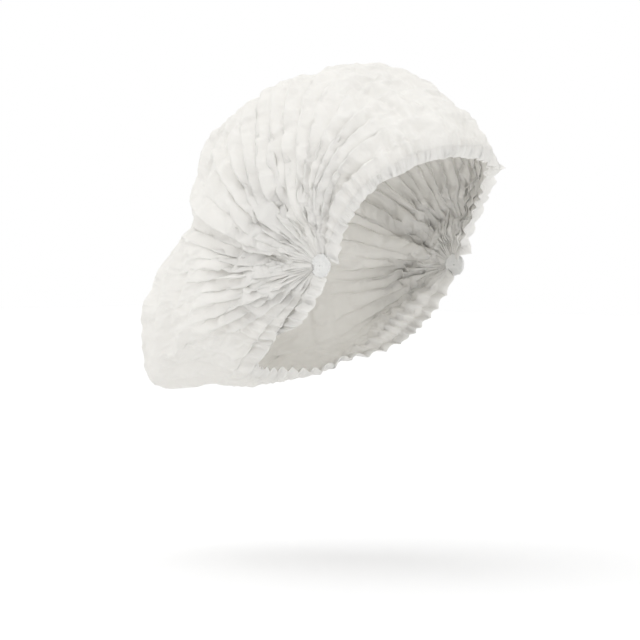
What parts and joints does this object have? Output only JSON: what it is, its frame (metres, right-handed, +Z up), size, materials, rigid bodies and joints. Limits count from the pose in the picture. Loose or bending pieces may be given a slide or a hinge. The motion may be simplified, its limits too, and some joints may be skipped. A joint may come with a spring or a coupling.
{
  "type": "bouffant cap",
  "caption": "Soft pleated non-woven cap in its worn shape: rounded crown, long nape bag for hair, and an elastic edge round the face and neck.",
  "frame": {"origin": "middle of the head that the cap is worn on, on the centre plane, level with the two welded ends in front of the ears", "axes": "+Z up through the crown, -Y the way the face looks, +Y towards the nape bag, +X the wearer's left"},
  "size_m": [0.1758, 0.2685, 0.2255],
  "materials": {
    "nonwoven": "matte",
    "hem": "matte",
    "elastic": "matte",
    "weld": "satin"
  },
  "bodies": {
    "root": {"pleated_sheet": "nonwoven", "front_hem": "hem", "rear_hem": "hem", "front_elastic": "elastic", "rear_elastic": "elastic", "right_welded_end": "weld", "left_welded_end": "weld"}
  },
  "joints": []
}
